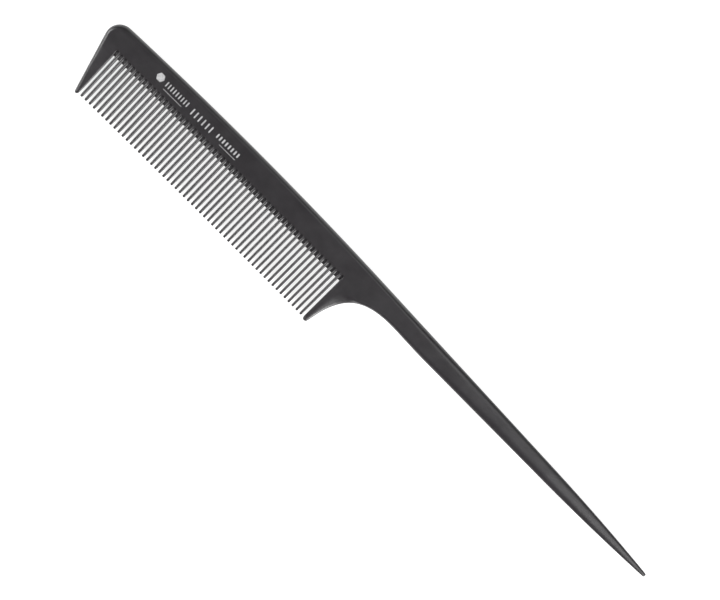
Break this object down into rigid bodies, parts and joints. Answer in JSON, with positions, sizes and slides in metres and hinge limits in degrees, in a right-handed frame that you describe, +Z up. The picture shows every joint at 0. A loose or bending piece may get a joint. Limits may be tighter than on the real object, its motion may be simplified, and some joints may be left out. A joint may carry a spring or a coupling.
{
  "type": "rat tail comb",
  "caption": "Flat one-piece comb with a gently arched back, a row of fine teeth between broad guard teeth, and a long oval tail that tapers to a blunt point",
  "frame": {"origin": "middle of the comb's box, on the lower face of the head, which lies flat on a table", "axes": "+X runs along the comb from the toe guard tooth to the tail tip, +Y from the teeth to the back edge, +Z up out of the face that carries the printed marks"},
  "size_m": [0.225, 0.0264, 0.0034],
  "materials": {
    "carbon_plastic": "dark charcoal carbon-filled plastic with a fine moulded grain and a satin sheen on the rounded edges",
    "ink": "light grey pad-printed ink, matte and very thin"
  },
  "bodies": {
    "root": {"spine": "carbon_plastic", "toe_guard_tooth": "carbon_plastic", "heel_guard_tooth": "carbon_plastic", "tail": "carbon_plastic", "tooth_01": "carbon_plastic", "tooth_02": "carbon_plastic", "tooth_03": "carbon_plastic", "tooth_04": "carbon_plastic", "tooth_05": "carbon_plastic", "tooth_06": "carbon_plastic", "tooth_07": "carbon_plastic", "tooth_08": "carbon_plastic", "tooth_09": "carbon_plastic", "tooth_10": "carbon_plastic", "tooth_11": "carbon_plastic", "tooth_12": "carbon_plastic", "tooth_13": "carbon_plastic", "tooth_14": "carbon_plastic", "tooth_15": "carbon_plastic", "tooth_16": "carbon_plastic", "tooth_17": "carbon_plastic", "tooth_18": "carbon_plastic", "tooth_19": "carbon_plastic", "tooth_20": "carbon_plastic", "tooth_21": "carbon_plastic", "tooth_22": "carbon_plastic", "tooth_23": "carbon_plastic", "tooth_24": "carbon_plastic", "tooth_25": "carbon_plastic", "tooth_26": "carbon_plastic", "tooth_27": "carbon_plastic", "tooth_28": "carbon_plastic", "tooth_29": "carbon_plastic", "tooth_30": "carbon_plastic", "tooth_31": "carbon_plastic", "tooth_32": "carbon_plastic", "tooth_33": "carbon_plastic", "tooth_34": "carbon_plastic", "tooth_35": "carbon_plastic", "tooth_36": "carbon_plastic", "tooth_37": "carbon_plastic", "tooth_38": "carbon_plastic", "tooth_39": "carbon_plastic", "tooth_40": "carbon_plastic", "tooth_41": "carbon_plastic", "tooth_42": "carbon_plastic", "tooth_43": "carbon_plastic", "tooth_44": "carbon_plastic", "tooth_45": "carbon_plastic", "tooth_46": "carbon_plastic", "tooth_47": "carbon_plastic", "tooth_48": "carbon_plastic", "tooth_49": "carbon_plastic", "tooth_50": "carbon_plastic", "tooth_51": "carbon_plastic", "tooth_52": "carbon_plastic", "tooth_53": "carbon_plastic", "tooth_54": "carbon_plastic", "tooth_55": "carbon_plastic", "print_marks": "ink"}
  },
  "joints": []
}
